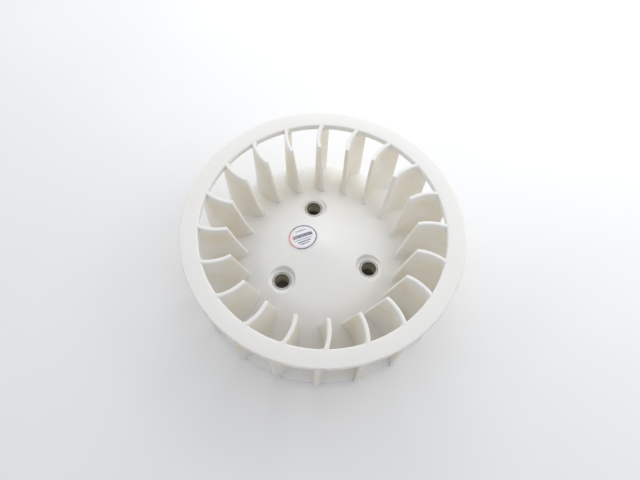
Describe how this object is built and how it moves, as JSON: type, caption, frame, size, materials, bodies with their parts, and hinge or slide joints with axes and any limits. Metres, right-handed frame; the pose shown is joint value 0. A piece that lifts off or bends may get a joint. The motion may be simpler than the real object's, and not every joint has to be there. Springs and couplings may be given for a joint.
{
  "type": "flywheel cooling fan",
  "caption": "Moulded centrifugal cooling fan for an engine flywheel: domed rear disc, curved blades, flat inlet ring and steel screw bushes.",
  "frame": {"origin": "centre of the rear plane, on the spin axis, level with the rim of the rear disc and the blades' rear ends", "axes": "+Z along the spin axis towards the air inlet, +Y through bush_1"},
  "size_m": [0.126, 0.126, 0.0445],
  "materials": {
    "nylon": "natural off-white nylon, as moulded, satin",
    "bush_steel": "plain turned steel, dull",
    "label_film": "white printed film"
  },
  "bodies": {
    "root": {"hub_disc": "nylon", "front_ring": "nylon", "blade_01": "nylon", "blade_02": "nylon", "blade_03": "nylon", "blade_04": "nylon", "blade_05": "nylon", "blade_06": "nylon", "blade_07": "nylon", "blade_08": "nylon", "blade_09": "nylon", "blade_10": "nylon", "blade_11": "nylon", "blade_12": "nylon", "blade_13": "nylon", "blade_14": "nylon", "blade_15": "nylon", "blade_16": "nylon", "blade_17": "nylon", "blade_18": "nylon", "blade_19": "nylon", "blade_20": "nylon", "bush_1": "bush_steel", "bush_2": "bush_steel", "bush_3": "bush_steel", "label": "label_film"}
  },
  "joints": []
}
